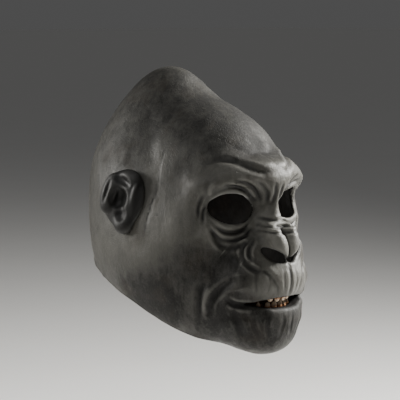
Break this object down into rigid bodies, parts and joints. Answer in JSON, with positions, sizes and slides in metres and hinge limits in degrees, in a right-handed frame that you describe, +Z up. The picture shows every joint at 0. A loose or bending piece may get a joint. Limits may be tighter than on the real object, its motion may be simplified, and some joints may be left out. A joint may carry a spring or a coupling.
{
  "type": "gorilla mask",
  "caption": "Hollow over-the-head gorilla mask with crested crown, heavy brow, open eye holes, cast ears, gum plates and teeth in parted lips.",
  "frame": {"origin": "inside the crown, where the top of the wearer's head sits", "axes": "+Z up, the face looks towards -Y, the wearer's right side is at -X"},
  "size_m": [0.208, 0.2567, 0.2717],
  "materials": {
    "skin": "satin charcoal foam latex, dry-brushed paler on raised skin",
    "ear": "semi-gloss black-brown latex",
    "gum": "glossy orange-brown",
    "tooth": "gloss, stained ivory"
  },
  "bodies": {
    "root": {"mask_skin": "skin", "ear_left": "ear", "ear_right": "ear", "upper_gum": "gum", "lower_gum": "gum", "lower_incisor_middle_left": "tooth", "lower_incisor_middle_right": "tooth", "lower_incisor_outer_left": "tooth", "lower_incisor_outer_right": "tooth", "lower_canine_left": "tooth", "lower_canine_right": "tooth", "upper_incisor_middle_left": "tooth", "upper_incisor_middle_right": "tooth", "upper_incisor_outer_left": "tooth", "upper_incisor_outer_right": "tooth"}
  },
  "joints": []
}
